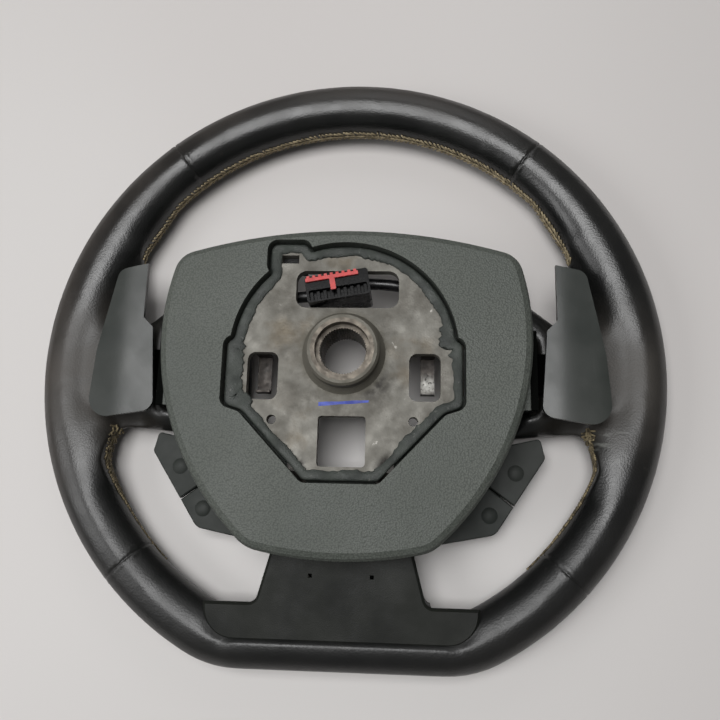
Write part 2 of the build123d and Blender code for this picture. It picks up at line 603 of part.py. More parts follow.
def paddle():
    """The right-hand shift paddle: crowned blade, riser, arm and hinge barrel."""
    points = [
        (PADDLE_INNER_X, PADDLE_HEEL_Y), (PADDLE_STEP_X, PADDLE_STEP_Y),
        (PADDLE_UPPER_X, PADDLE_STEP_Y + PADDLE_UPPER_X - PADDLE_STEP_X), (PADDLE_UPPER_X, PADDLE_TOP_Y),
        (PADDLE_TOP_OUTER_X, PADDLE_TOP_OUTER_Y), (PADDLE_MID_X, PADDLE_MID_Y),
        (PADDLE_OUTER_X, PADDLE_BOTTOM_Y)]
    face = make_face(Polyline(*points, close=True))
    face = rounded(face, [points[0], points[4]], PADDLE_CORNER_R)
    face = rounded(face, [points[6]], PADDLE_BOTTOM_CORNER_R)
    face = rounded(face, [points[5]], 6 * PADDLE_CORNER_R)
    crown = Pos(PADDLE_CROWN_X, 0, -PADDLE_DROP - PADDLE_CROWN_R) * Rot(90, 0, 0)
    outside = crown * Cylinder(PADDLE_CROWN_R, FAR)
    blade = slab(face, PIVOT_Z, 0) & (outside - crown * Cylinder(PADDLE_CROWN_R - PADDLE_THICKNESS, FAR))
    low = PIVOT_LOW_Y + PIVOT_END_GAP
    high = PIVOT_HIGH_Y - PIVOT_END_GAP
    barrel = Pos(PIVOT_X, (low + high) / 2, PIVOT_Z) * Rot(90, 0, 0) * Cylinder(PIVOT_BARREL_R, high - low)
    bore = Pos(PIVOT_X, 0, PIVOT_Z) * Rot(90, 0, 0) * Cylinder(PIVOT_PIN_R + PIVOT_RUNNING_GAP, FAR)
    arm_z = (PIVOT_Z - ARM_THICKNESS / 2, PIVOT_Z + ARM_THICKNESS / 2)
    arm_y = (low + ARM_INSET, high - ARM_INSET)
    arm = box((PIVOT_X, ARM_RISER_X + ARM_RISER_WIDTH), arm_y, arm_z)
    riser = box((ARM_RISER_X, ARM_RISER_X + ARM_RISER_WIDTH), arm_y, (arm_z[0], -PADDLE_DROP))
    return blade + (riser & outside) + arm + barrel - bore


def pivot_pin():
    """The right-hand hinge pin, through both ears of its bracket."""
    low = PIVOT_LOW_Y - BRACKET_EAR
    high = PIVOT_HIGH_Y + BRACKET_EAR
    return Pos(PIVOT_X, (low + high) / 2, PIVOT_Z) * Rot(90, 0, 0) * Cylinder(PIVOT_PIN_R, high - low)


def paddle_bracket():
    """The right-hand clevis on the side spoke."""
    low = PIVOT_LOW_Y - BRACKET_EAR
    high = PIVOT_HIGH_Y + BRACKET_EAR
    block = box((BRACKET_INNER_X, BRACKET_OUTER_X), (low, high), (SPOKE_REAR_Z, -BRACKET_TOP_DROP))
    inside = box((BRACKET_INNER_X + BRACKET_FLOOR, FAR), (PIVOT_LOW_Y, PIVOT_HIGH_Y),
                 (SPOKE_REAR_Z + BRACKET_FLOOR, 0))
    return block - inside - pivot_pin()


def paddle_switch():
    """The right-hand microswitch on the bracket's floor, under the paddle's arm."""
    floor = SPOKE_REAR_Z + BRACKET_FLOOR
    top = PIVOT_Z - PIVOT_BARREL_R - PADDLE_SWITCH_REST_GAP
    y = (PIVOT_LOW_Y + PIVOT_HIGH_Y) / 2
    x = (PIVOT_X + BRACKET_OUTER_X) / 2
    body = box((x - PADDLE_SWITCH_WIDTH / 2, BRACKET_OUTER_X),
               (y - PADDLE_SWITCH_LENGTH / 2, y + PADDLE_SWITCH_LENGTH / 2), (floor, top))
    return body


def key_outline():
    """Both right-hand finger keys together in plan."""
    points = [
        (KEY_INNER_TOP_X, KEY_INNER_TOP_Y), (KEY_TOP_X, KEY_TOP_Y), (KEY_SHOULDER_X, KEY_SHOULDER_Y),
        (KEY_ELBOW_X, KEY_ELBOW_Y), (KEY_FOOT_X, KEY_FOOT_Y), (KEY_INNER_FOOT_X, KEY_INNER_FOOT_Y)]
    face = make_face(Polyline(*points, close=True))
    face = rounded(face, [points[3]], KEY_ELBOW_R)
    return rounded(face, [points[1], points[2]], KEY_CORNER_R)


def key_split(width):
    """The line between the two keys, as a band that wide with everything below it."""
    run = math.degrees(math.atan2(KEY_SPLIT_Y - KEY_SPLIT_INNER_Y, KEY_SPLIT_X - KEY_SPLIT_INNER_X))
    return Pos(KEY_SPLIT_X, KEY_SPLIT_Y) * Rot(0, 0, run) * Pos(0, width / 2 - FAR / 2) * Rectangle(FAR, FAR)


def stem_place(bump):
    """A stem stands a little nearer to the hub than its key's bump."""
    inward = 1 - STEM_SHIFT / math.hypot(*bump)
    return Pos(bump[0] * inward, bump[1] * inward)


def key(outline, bump):
    """A hollow key cap with a bump to feel and a stem that runs in the housing."""
    cap = slab(outline, KEY_FRONT_Z, KEY_Z)
    cap = chamfer(cap.edges().group_by(Axis.Z)[-1], KEY_EDGE)
    cap -= slab(offset(outline, -KEY_WALL), KEY_FRONT_Z, KEY_Z - KEY_WALL)
    foot = Pos(*bump, KEY_Z - KEY_WALL / 2) * RegularPolygon(BUMP_R, BUMP_SIDES)
    cap += extrude(foot, KEY_WALL / 2 + BUMP_HEIGHT, taper=BUMP_TAPER_DEG)
    stem_low = HOUSING_TOP_Z - HOUSING_ROOF + KEY_TRAVEL + HOUSING_CLEARANCE
    return cap + slab(stem_place(bump) * Rectangle(STEM_SIZE, STEM_SIZE), stem_low, KEY_Z - KEY_WALL / 2)


def stem_holes():
    """The two guides for the stems of the right-hand keys."""
    guide = Rectangle(STEM_SIZE + 2 * STEM_GAP, STEM_SIZE + 2 * STEM_GAP)
    return stem_place((UPPER_BUMP_X, UPPER_BUMP_Y)) * guide + stem_place((LOWER_BUMP_X, LOWER_BUMP_Y)) * guide


def upper_key():
    return key(key_outline() - key_split(KEY_SLIT), (UPPER_BUMP_X, UPPER_BUMP_Y))


def lower_key():
    return key(key_outline() & key_split(-KEY_SLIT), (LOWER_BUMP_X, LOWER_BUMP_Y))


def housing_outline(inset=0.0):
    """The right-hand key housing in plan, set in from the keys' free edges."""
    return offset(key_outline(), -HOUSING_INSET - inset)


def switch_housing():
    """The tray that carries the right-hand keys, with a lug under the side spoke."""
    tray = slab(housing_outline(), HOUSING_FRONT_Z, HOUSING_TOP_Z)
    tray -= slab(housing_outline(HOUSING_WALL), HOUSING_FRONT_Z, HOUSING_TOP_Z - HOUSING_ROOF)
    lug_z = (SPOKE_FRONT_Z - HOUSING_LUG_THICKNESS, SPOKE_FRONT_Z)
    lug = box((HOUSING_LUG_X - HOUSING_LUG_WIDTH / 2, HOUSING_LUG_X + HOUSING_LUG_WIDTH / 2),
              (UPPER_BUMP_Y, HOUSING_LUG_Y + HOUSING_LUG_WIDTH / 2), lug_z)
    lug -= slab(offset(key_outline(), -HOUSING_INSET - HOUSING_WALL / 2), -FAR, FAR)
    return tray + lug - slab(stem_holes(), -FAR, FAR)


def key_mat():
    """The rubber mat under the stems."""
    top = HOUSING_TOP_Z - HOUSING_ROOF
    return slab(housing_outline(HOUSING_WALL + HOUSING_CLEARANCE), top - MAT_THICKNESS, top)


def switch_board():
    """The circuit board that closes the tray under the mat."""
    top = HOUSING_TOP_Z - HOUSING_ROOF - MAT_THICKNESS
    return slab(housing_outline(HOUSING_WALL + HOUSING_CLEARANCE), top - BOARD_THICKNESS, top)


def plug_place(shape):
    return Pos(PLUG_X, SLOT_Y, 0) * Rot(0, 0, PLUG_TURN_DEG) * shape


def plug_block():
    return Pos(0, 0, -PLUG_DROP - PLUG_LENGTH / 2) * Box(PLUG_WIDTH, PLUG_HEIGHT, PLUG_LENGTH)


def column_plug():
    """The plug that waits for the column's clock spring, standing in the hub plate's slot."""
    body = chamfer(plug_block().edges().filter_by(Axis.Z), PLUG_EDGE)
    cavity = RectangleRounded(PLUG_WIDTH - 2 * PLUG_WALL, PLUG_HEIGHT / 2 - PLUG_WALL, PLUG_EDGE)
    body -= Pos(0, -PLUG_HEIGHT / 4, -PLUG_DROP - PLUG_CAVITY_DEPTH) * extrude(cavity, PLUG_LENGTH)
    return plug_place(body)


def plug_lock():
    """The comb-like lock on the plug's rear face."""
    y = PLUG_HEIGHT / 2 - PLUG_WALL - LOCK_THICKNESS / 2
    low = -PLUG_DROP
    high = low + LOCK_RISE
    strip = Pos(0, y) * Rectangle(LOCK_WIDTH, LOCK_THICKNESS)
    pitch = LOCK_WIDTH / LOCK_TOOTH_COUNT
    teeth = [Pos((i - (LOCK_TOOTH_COUNT - 1) / 2) * pitch, y + LOCK_THICKNESS / 2)
             * Rectangle(pitch / 2, LOCK_TOOTH_HEIGHT * 2) for i in range(LOCK_TOOTH_COUNT)]
    tab = Pos(0, y - LOCK_TAB_LENGTH / 2) * Rectangle(LOCK_TAB_WIDTH, LOCK_TAB_LENGTH)
    return plug_place(slab(Pos(LOCK_SHIFT, 0) * (Sketch() + [strip, tab] + teeth), low, high))


def loom(start_x, start_y):
    """A right-hand bundle of wires from the plug, under the hub plate, to the key housing."""
    path = Polyline(
        (start_x, start_y, -LOOM_DROP), (LOOM_TURN_X, start_y, -LOOM_DROP),
        (LOOM_SIDE_X, LOOM_SIDE_Y, -LOOM_SIDE_DROP), (LOOM_SIDE_X, LOOM_LOW_Y, -LOOM_LOW_DROP),
        (LOOM_END_X, LOOM_END_Y, (HOUSING_TOP_Z + HOUSING_FRONT_Z) / 2))
    section = Plane(origin=path @ 0, z_dir=path % 0) * RegularPolygon(LOOM_D / 2, LOOM_SIDES)
    return sweep(section, path=path, transition=Transition.RIGHT)


def right_loom():
    bundle = loom(RIGHT_LOOM_X, RIGHT_LOOM_Y) - slab(housing_outline(), -FAR, FAR)
    return bundle - plug_place(plug_block())


def left_loom():
    bundle = other_side(loom(LEFT_LOOM_X, LEFT_LOOM_Y) - slab(housing_outline(), -FAR, FAR))
    return bundle - plug_place(plug_block())


def airbag_spring():
    """The right-hand bent strip that catches the airbag's stud behind its window."""
    top = PLATE_FRONT_Z - SPRING_STRIP / 2
    line = Polyline(
        (SPRING_FOOT_Y, top), (SPRING_HEEL_Y, top), (SPRING_HEEL_Y, top - SPRING_DEPTH),
        (SPRING_HOOK_Y, top - SPRING_DEPTH), (SPRING_HOOK_Y, top - SPRING_DEPTH + SPRING_HOOK_RISE))
    strip = Plane.YZ * trace(line, SPRING_STRIP)
    return Pos(SPRING_X, 0, 0) * extrude(strip, SPRING_WIDTH / 2, both=True)


os.makedirs("parts", exist_ok=True)
PIECES = {
    "armature": armature(),
    "rim_core": core_ring(0),
    "splined_hub": splined_hub(),
    "hub_foam": hub_foam(),
    "leather_rim": leather_rim(),
    "rear_cover": rear_cover(),
    "lower_spoke_cover": foot_cover(),
    "lower_spoke_trim": front_trim(),
    "column_plug": column_plug(),
    "plug_lock": plug_lock(),
    "right_loom": right_loom(),
    "left_loom": left_loom(),
}
PAIRS = {
    "paddle": paddle(),
    "paddle_pin": pivot_pin(),
    "paddle_bracket": paddle_bracket(),
    "paddle_switch": paddle_switch(),
    "upper_key": upper_key(),
    "lower_key": lower_key(),
    "switch_housing": switch_housing(),
    "key_mat": key_mat(),
    "switch_board": switch_board(),
    "airbag_spring": airbag_spring(),
}
for name, shape in PIECES.items():
    export_step(shape, f"parts/{name}.step")
for name, shape in PAIRS.items():
    export_step(shape, f"parts/right_{name}.step")
    export_step(other_side(shape), f"parts/left_{name}.step")
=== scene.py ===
import json
import math

import bmesh
import bpy
from mathutils import Matrix, Vector, noise
from mathutils.bvhtree import BVHTree


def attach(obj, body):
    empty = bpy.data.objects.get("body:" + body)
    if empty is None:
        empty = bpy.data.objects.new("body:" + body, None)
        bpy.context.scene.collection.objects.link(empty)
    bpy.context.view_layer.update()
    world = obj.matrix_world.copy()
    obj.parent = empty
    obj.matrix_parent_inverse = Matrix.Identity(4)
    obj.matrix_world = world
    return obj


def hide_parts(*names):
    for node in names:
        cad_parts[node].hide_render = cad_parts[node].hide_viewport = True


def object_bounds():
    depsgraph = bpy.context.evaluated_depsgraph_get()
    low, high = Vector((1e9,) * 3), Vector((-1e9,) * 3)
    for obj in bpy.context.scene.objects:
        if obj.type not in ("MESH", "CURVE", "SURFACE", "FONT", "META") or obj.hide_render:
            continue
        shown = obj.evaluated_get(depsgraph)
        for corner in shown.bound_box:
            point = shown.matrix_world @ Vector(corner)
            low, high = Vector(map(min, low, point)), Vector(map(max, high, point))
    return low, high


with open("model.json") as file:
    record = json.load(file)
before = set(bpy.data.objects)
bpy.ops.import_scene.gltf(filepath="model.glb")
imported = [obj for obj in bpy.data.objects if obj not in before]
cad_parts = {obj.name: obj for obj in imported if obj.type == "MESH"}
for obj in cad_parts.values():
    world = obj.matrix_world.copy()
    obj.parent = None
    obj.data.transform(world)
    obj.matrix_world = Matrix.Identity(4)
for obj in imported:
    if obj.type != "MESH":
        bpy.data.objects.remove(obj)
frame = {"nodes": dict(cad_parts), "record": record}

# Metres, in the wheel's own frame: origin on the hub axis at the boss's rear face, +Z to the column,
# +Y to twelve o'clock. The wheel lies face down on the table. A value times MM is in millimetres, and so
# are the heights of the rim's middle, the hub plate and the keys' faces below.
CAD_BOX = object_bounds()
MM = 0.001
NODES = frame["nodes"]
TABLE_LEVEL = CAD_BOX[0].z
RIM_Z, PLATE_Z, KEY_Z = -52, -12, -49
RIM_LEVEL = RIM_Z * MM
SIDES = (("right", 1), ("left", -1))

bpy.ops.object.select_all(action="DESELECT")
bpy.context.scene.view_settings.view_transform = "Standard"


# Modelling helpers

def take(piece):
    """Makes one piece the only selected and the active one."""
    bpy.ops.object.select_all(action="DESELECT")
    piece.select_set(True)
    bpy.context.view_layer.objects.active = piece


def edit(piece):
    """Opens one piece in edit mode with nothing selected."""
    take(piece)
    bpy.ops.object.mode_set(mode="EDIT")
    bpy.ops.mesh.select_all(action="DESELECT")


def leave():
    """Goes back to object mode."""
    bpy.ops.object.mode_set(mode="OBJECT")


def pick_faces(piece, test):
    """In edit mode, selects the faces whose middle and normal pass the test."""
    bpy.ops.mesh.select_mode(type="FACE")
    bpy.ops.mesh.select_all(action="DESELECT")
    mesh = bmesh.from_edit_mesh(piece.data)
    for face in mesh.faces:
        face.select_set(test(face.calc_center_median(), face.normal))
    bmesh.update_edit_mesh(piece.data)


def pick_points(piece, test):
    """In edit mode, selects the vertices whose place passes the test."""
    bpy.ops.mesh.select_mode(type="VERT")
    bpy.ops.mesh.select_all(action="DESELECT")
    mesh = bmesh.from_edit_mesh(piece.data)
    for vertex in mesh.verts:
        vertex.select_set(test(vertex.co))
    mesh.select_flush(True)
    bmesh.update_edit_mesh(piece.data)


def modify(piece, kind, **settings):
    """Adds a modifier, sets it and applies it."""
    take(piece)
    modifier = piece.modifiers.new(kind.lower(), kind)
    for name, value in settings.items():
        setattr(modifier, name, value)
    bpy.ops.object.modifier_apply(modifier=modifier.name)


def settle(piece, name):
    """Names a finished piece and puts its place into its mesh."""
    take(piece)
    bpy.ops.object.transform_apply(location=True, rotation=True, scale=True)
    piece.name = name
    piece.data.name = name
    return piece


def copy_of(node, name):
    """A merged copy of a solid's mesh as a piece of its own."""
    piece = bpy.data.objects.new(name, NODES[node].data.copy())
    bpy.context.scene.collection.objects.link(piece)
    edit(piece)
    bpy.ops.mesh.select_all(action="SELECT")
    bpy.ops.mesh.remove_doubles(threshold=0.02 * MM)
    leave()
    return piece


def smooth(piece, degrees=None):
    """Shades a piece smooth, all over or only across edges flatter than the angle given."""
    take(piece)
    if degrees is None:
        bpy.ops.object.shade_smooth()
    else:
        bpy.ops.object.shade_smooth_by_angle(angle=math.radians(degrees))


def wear(piece, finish):
    """Gives a piece one finish all over."""
    piece.data.materials.clear()
    piece.data.materials.append(finish)


# Material helpers

def shade(red, green, blue):
    """A colour as the eye reads it, 0 to 255, for a shader."""
    parts = [v / 255 for v in (red, green, blue)]
    return [v / 12.92 if v <= 0.04045 else ((v + 0.055) / 1.055) ** 2.4 for v in parts] + [1]


def add(tree, kind, inputs=None, **settings):
    """A node with its settings and its inputs, each a plain value or another node's output."""
    made = tree.nodes.new(kind)
    for name, value in settings.items():
        setattr(made, name, value)
    for name, value in (inputs or {}).items():
        if isinstance(value, bpy.types.NodeSocket):
            tree.links.new(value, made.inputs[name])
        else:
            made.inputs[name].default_value = value
    return made


def place(tree, scale=(1, 1, 1)):
    """The point on the piece, stretched by the scale given."""
    coords = add(tree, "ShaderNodeTexCoord").outputs["Object"]
    return add(tree, "ShaderNodeMapping", {"Vector": coords, "Scale": scale}).outputs["Vector"]


def clouds(tree, size, detail=4, scale=(1, 1, 1), rough=0.55):
    """Noise with patches about that many metres across."""
    spots = add(tree, "ShaderNodeTexNoise",
                {"Vector": place(tree, scale), "Scale": 1 / size, "Detail": detail, "Roughness": rough})
    return spots.outputs["Fac"]


def pebbles(tree, size):
    """Rounded cells about that many metres across."""
    cells = add(tree, "ShaderNodeTexVoronoi", {"Vector": place(tree), "Scale": 1 / size})
    return cells.outputs["Distance"]


def span(tree, value, low, high, to_low=0.0, to_high=1.0):
    """Stretches a value from one span to another and stops at its ends."""
    ends = {"Value": value, "From Min": low, "From Max": high, "To Min": to_low, "To Max": to_high}
    return add(tree, "ShaderNodeMapRange", ends, interpolation_type="SMOOTHSTEP").outputs["Result"]


def sums(tree, kind, a, b):
    """Two values brought together by the kind of sum named."""
    made = add(tree, "ShaderNodeMath", operation=kind)
    for socket, value in zip(made.inputs, (a, b)):
        if isinstance(value, bpy.types.NodeSocket):
            tree.links.new(value, socket)
        else:
            socket.default_value = value
    return made.outputs[0]


def coordinate(tree, axis):
    """How far a point lies along one axis, in metres; X is taken without its sign."""
    along = add(tree, "ShaderNodeSeparateXYZ", {"Vector": place(tree)}).outputs[axis]
    return sums(tree, "ABSOLUTE", along, 0.0) if axis == "X" else along


def blend_of(tree, factor, first, second):
    """One colour into another by a factor."""
    made = add(tree, "ShaderNodeMix", data_type="RGBA")
    for socket, value in ((made.inputs[0], factor), (made.inputs[6], first), (made.inputs[7], second)):
        if isinstance(value, bpy.types.NodeSocket):
            tree.links.new(value, socket)
        else:
            socket.default_value = value
    return made.outputs[2]


def blank(name):
    """An empty material with its main shader."""
    made = bpy.data.materials.new(name)
    made.use_nodes = True
    tree = made.node_tree
    return made, tree, tree.nodes["Principled BSDF"]


def relief(tree, shader, height, strength, depth):
    """Grain that stands up by about that depth."""
    bump = add(tree, "ShaderNodeBump", {"Height": height, "Strength": strength, "Distance": depth})
    tree.links.new(bump.outputs["Normal"], shader.inputs["Normal"])


def finish_of(name, dark, light, patch, rough, grain, depth, strength=0.4, metallic=0.0, specular=0.5,
              cells=False):
    """A plain finish: two shades in patches, roughness that drifts, and a grain."""
    made, tree, shader = blank(name)
    drift = span(tree, clouds(tree, patch), 0.35, 0.65)
    tree.links.new(blend_of(tree, drift, dark, light), shader.inputs["Base Color"])
    tree.links.new(span(tree, clouds(tree, patch * 0.6), 0.3, 0.7, *rough), shader.inputs["Roughness"])
    shader.inputs["Metallic"].default_value = metallic
    shader.inputs["Specular IOR Level"].default_value = specular
    height = pebbles(tree, grain) if cells else clouds(tree, grain, detail=2)
    relief(tree, shader, height, strength, depth)
    return made


def radius_out(tree):
    """How far a point is from the hub axis, in metres."""
    flat = place(tree, (1, 1, 0))
    return add(tree, "ShaderNodeVectorMath", {0: flat}, operation="LENGTH").outputs["Value"]


def spot(tree, x, y, reach):
    """1 at a place seen from the rear, fading to 0 over the reach given, all in metres."""
    coords = add(tree, "ShaderNodeTexCoord").outputs["Object"]
    moved = add(tree, "ShaderNodeMapping", {"Vector": coords, "Location": (-x, -y, 0), "Scale": (1, 1, 0)})
    away = add(tree, "ShaderNodeVectorMath", {0: moved.outputs["Vector"]}, operation="LENGTH")
    return span(tree, away.outputs["Value"], 0, reach, 1, 0)


# Finishes

def worn_leather():
    """Near-black leather, greyed and dulled on the palm rests, browned along the outer edge with painted
    shade towards the lower right.
    """
    made, tree, shader = blank("worn_leather")
    palm_x, palm_y, crease_y = 152 * MM, -8 * MM, -45 * MM
    drift = span(tree, clouds(tree, 0.05), 0.3, 0.7)
    base = blend_of(tree, drift, shade(9, 10, 10), shade(17, 18, 17))
    palms = sums(tree, "MAXIMUM", spot(tree, palm_x, palm_y, 62 * MM), spot(tree, -palm_x, palm_y, 70 * MM))
    handled = sums(tree, "MULTIPLY", span(tree, clouds(tree, 0.02), 0.2, 0.7, 0.5, 1),
                   span(tree, radius_out(tree), 0.108, 0.122))
    base = blend_of(tree, sums(tree, "MULTIPLY", palms, handled), base, shade(66, 62, 57))
    # The brown along the outer edge is wear. Its fading from the upper left towards the lower right is
    # painted light and shade.
    outer = sums(tree, "MULTIPLY", span(tree, radius_out(tree), 0.160, 0.192),
                 span(tree, spot(tree, -120 * MM, 120 * MM, 300 * MM), 0, 0.5, 0.1, 1))
    rubbed_and_painted_light = sums(tree, "MULTIPLY", outer, span(tree, clouds(tree, 0.04), 0.25, 0.75, 0.4, 1))
    base = blend_of(tree, rubbed_and_painted_light, base, shade(60, 54, 49))
    specks = span(tree, clouds(tree, 0.004), 0.68, 0.78, 0, 0.4)
    base = blend_of(tree, specks, base, shade(58, 54, 50))
    folds = span(tree, clouds(tree, 0.012, scale=(0.4, 2.2, 1)), 0.5, 0.66, 0, 0.8)
    creased = sums(tree, "MULTIPLY", spot(tree, palm_x, crease_y, 16 * MM), folds)
    tree.links.new(blend_of(tree, creased, base, shade(120, 122, 117)), shader.inputs["Base Color"])
    gloss = span(tree, clouds(tree, 0.02), 0.3, 0.7, 0.28, 0.35)
    dull = sums(tree, "MULTIPLY", sums(tree, "MAXIMUM", palms, rubbed_and_painted_light), 0.26)
    low = span(tree, coordinate(tree, "Y"), -0.04, -0.12, 0, 0.1)
    tree.links.new(sums(tree, "ADD", sums(tree, "ADD", gloss, dull), low), shader.inputs["Roughness"])
    shader.inputs["Specular IOR Level"].default_value = 0.65
    fine = sums(tree, "MULTIPLY", pebbles(tree, 1.1 * MM), 0.6)
    height = sums(tree, "ADD", fine, clouds(tree, 6 * MM, detail=3))
    relief(tree, shader, height, 0.35, 0.3 * MM)
    return made


def cover_grain():
    """Dark grey-green moulded plastic with a fine pebble grain, and painted near-black shade on the ledges by
    the paddles.
    """
    made, tree, shader = blank("cover_grain")
    drift = span(tree, clouds(tree, 0.06), 0.35, 0.65)
    base = blend_of(tree, drift, shade(80, 85, 79), shade(90, 94, 88))
    cells = pebbles(tree, 1.0 * MM)
    valleys = span(tree, cells, 0.25, 0.75, 0, 0.8)
    base = blend_of(tree, valleys, base, shade(62, 66, 61))
    # Painted shade: the ledges beside the paddle slots are made near-black and lose their reflection.
    ledge_painted_shade = sums(tree, "MULTIPLY", span(tree, coordinate(tree, "X"), 104.6 * MM, 105.2 * MM),
                 span(tree, coordinate(tree, "Z"), -22 * MM, -22.4 * MM))
    tree.links.new(blend_of(tree, ledge_painted_shade, base, shade(12, 13, 12)), shader.inputs["Base Color"])
    tree.links.new(span(tree, ledge_painted_shade, 0, 1, 0.5, 0), shader.inputs["Specular IOR Level"])
    tree.links.new(span(tree, clouds(tree, 0.03), 0.3, 0.7, 0.5, 0.62), shader.inputs["Roughness"])
    height = sums(tree, "SUBTRACT", sums(tree, "MULTIPLY", clouds(tree, 2 * MM), 0.5), cells)
    relief(tree, shader, height, 0.6, 0.4 * MM)
    return made


def paddle_satin():
    """Smooth dark plastic, drawn in along the blade, with painted near-black shade on the arm inside the
    slot.
    """
    made, tree, shader = blank("paddle_satin")
    drift = span(tree, clouds(tree, 0.03), 0.35, 0.65)
    base = blend_of(tree, drift, shade(43, 47, 44), shade(52, 55, 52))
    # Painted shade: the arm inside the slot is made near-black and loses its reflection.
    arm_painted_shade = span(tree, coordinate(tree, "Z"), -31 * MM, -32 * MM)
    tree.links.new(blend_of(tree, arm_painted_shade, base, shade(4, 4, 4)), shader.inputs["Base Color"])
    tree.links.new(span(tree, arm_painted_shade, 0, 1, 0.5, 0), shader.inputs["Specular IOR Level"])
    tree.links.new(span(tree, clouds(tree, 0.02), 0.3, 0.7, 0.34, 0.44), shader.inputs["Roughness"])
    hollow = add(tree, "ShaderNodeTexWave", {"Vector": place(tree), "Scale": 11.0, "Phase Offset": 1.2})
    grain = sums(tree, "MULTIPLY", clouds(tree, 0.5 * MM, detail=2), 0.05)
    relief(tree, shader, sums(tree, "ADD", hollow.outputs["Fac"], grain), 1.0, 0.45 * MM)
    return made


def cast_alloy():
    """Cast light alloy, mottled warm grey with stains and pale flecks, a darker patch beside the boss and
    painted shade by the arms, more even on the boss.
    """
    made, tree, shader = blank("cast_alloy")
    drift = span(tree, clouds(tree, 0.018, detail=6), 0.3, 0.7)
    base = blend_of(tree, drift, shade(92, 89, 82), shade(130, 128, 121))
    brown = span(tree, clouds(tree, 0.03, detail=5), 0.5, 0.7, 0, 0.7)
    base = blend_of(tree, brown, base, shade(96, 85, 67))
    flecks = span(tree, clouds(tree, 0.009, detail=6, rough=0.72), 0.66, 0.71, 0, 0.75)
    base = blend_of(tree, flecks, base, shade(206, 203, 196))
    pits = span(tree, clouds(tree, 0.002, detail=2), 0.3, 0.22, 0, 0.5)
    base = blend_of(tree, pits, base, shade(84, 78, 70))
    # Darker patches: the one beside the boss's lower right is a plain darker patch. The two by the arms paint
    # the shade in the gap round the plate where the arms leave it.
    for x, y, reach, amount in ((17, -17, 16, 1), (29, -66, 14, 3), (-29, -66, 14, 3)):
        film = span(tree, clouds(tree, 0.006), 0.3, 0.6, 0, amount)
        dark_patch = sums(tree, "MULTIPLY", spot(tree, x * MM, y * MM, reach * MM), film)
        base = blend_of(tree, dark_patch, base, shade(38, 35, 31))
    boss = span(tree, radius_out(tree), 0.027, 0.023, 0, 0.85)
    tree.links.new(blend_of(tree, boss, base, shade(92, 89, 80)), shader.inputs["Base Color"])
    shader.inputs["Metallic"].default_value = 0.35
    tree.links.new(span(tree, clouds(tree, 0.01), 0.3, 0.7, 0.48, 0.72), shader.inputs["Roughness"])
    ripple = sums(tree, "MULTIPLY", clouds(tree, 9 * MM), 1.5)
    relief(tree, shader, sums(tree, "ADD", clouds(tree, 1.2 * MM, detail=3), ripple), 0.5, 0.4 * MM)
    return made


def torn_foam():
    """Dark grey open-celled foam with pale dust, with painted near-black shade down in the upper left lug."""
    made, tree, shader = blank("torn_foam")
    drift = span(tree, clouds(tree, 0.012), 0.3, 0.7)
    base = blend_of(tree, drift, shade(42, 46, 43), shade(59, 64, 59))
    dust = span(tree, clouds(tree, 0.003), 0.62, 0.75, 0, 0.5)
    base = blend_of(tree, dust, base, shade(112, 112, 108))
    # Painted shade: the foam down in the upper left lug is made near-black.
    lug_painted_shade = sums(tree, "MULTIPLY", span(tree, spot(tree, -32.5 * MM, 55.5 * MM, 18 * MM), 0.2, 0.5),
                span(tree, coordinate(tree, "Z"), -13 * MM, -13.6 * MM))
    tree.links.new(blend_of(tree, lug_painted_shade, base, shade(4, 4, 4)), shader.inputs["Base Color"])
    tree.links.new(span(tree, clouds(tree, 0.01), 0.3, 0.7, 0.5, 0.75), shader.inputs["Roughness"])
    relief(tree, shader, pebbles(tree, 0.7 * MM), 0.5, 0.35 * MM)
    return made


def shaded_spring_with_painted_light():
    """Spring steel made dark as painted shade, with a painted light patch on the hook of the right-hand
    strip.
    """
    made, tree, shader = blank("shaded_spring_with_painted_light")
    # Painted shade: the steel is made dark all over.
    drift = span(tree, clouds(tree, 0.004), 0.3, 0.7)
    base = blend_of(tree, drift, shade(34, 30, 27), shade(58, 52, 47))
    # Painted light: a pale patch on the right-hand strip's hook.
    film = span(tree, clouds(tree, 0.002), 0.3, 0.5)
    hook_painted_light = sums(tree, "MULTIPLY", spot(tree, 47.5 * MM, -15 * MM, 9 * MM), film)
    tree.links.new(blend_of(tree, hook_painted_light, base, shade(150, 149, 144)), shader.inputs["Base Color"])
    shader.inputs["Metallic"].default_value = 0.5
    tree.links.new(span(tree, clouds(tree, 0.003), 0.3, 0.7, 0.4, 0.6), shader.inputs["Roughness"])
    relief(tree, shader, clouds(tree, 0.8 * MM, detail=2), 0.3, 0.1 * MM)
    return made


def taped_loom():
    """Black cloth-taped wires with the turns of the tape."""
    made, tree, shader = blank("taped_loom")
    wave = {"Vector": place(tree), "Scale": 30.0, "Distortion": 1.5, "Detail": 2.0}
    turns = add(tree, "ShaderNodeTexWave", wave).outputs["Fac"]
    tree.links.new(blend_of(tree, turns, shade(13, 13, 14), shade(24, 24, 25)), shader.inputs["Base Color"])
    tree.links.new(span(tree, clouds(tree, 0.006), 0.3, 0.7, 0.24, 0.42), shader.inputs["Roughness"])
    relief(tree, shader, turns, 0.2, 0.3 * MM)
    return made


def pale_table():
    """The plain pale table under the wheel."""
    made, tree, shader = blank("pale_table")
    drift = span(tree, clouds(tree, 0.5, detail=1), 0.3, 0.7)
    base = blend_of(tree, drift, shade(205, 201, 199), shade(211, 208, 206))
    tree.links.new(base, shader.inputs["Base Color"])
    shader.inputs["Roughness"].default_value = 0.4
    shader.inputs["Specular IOR Level"].default_value = 0.3
    return made


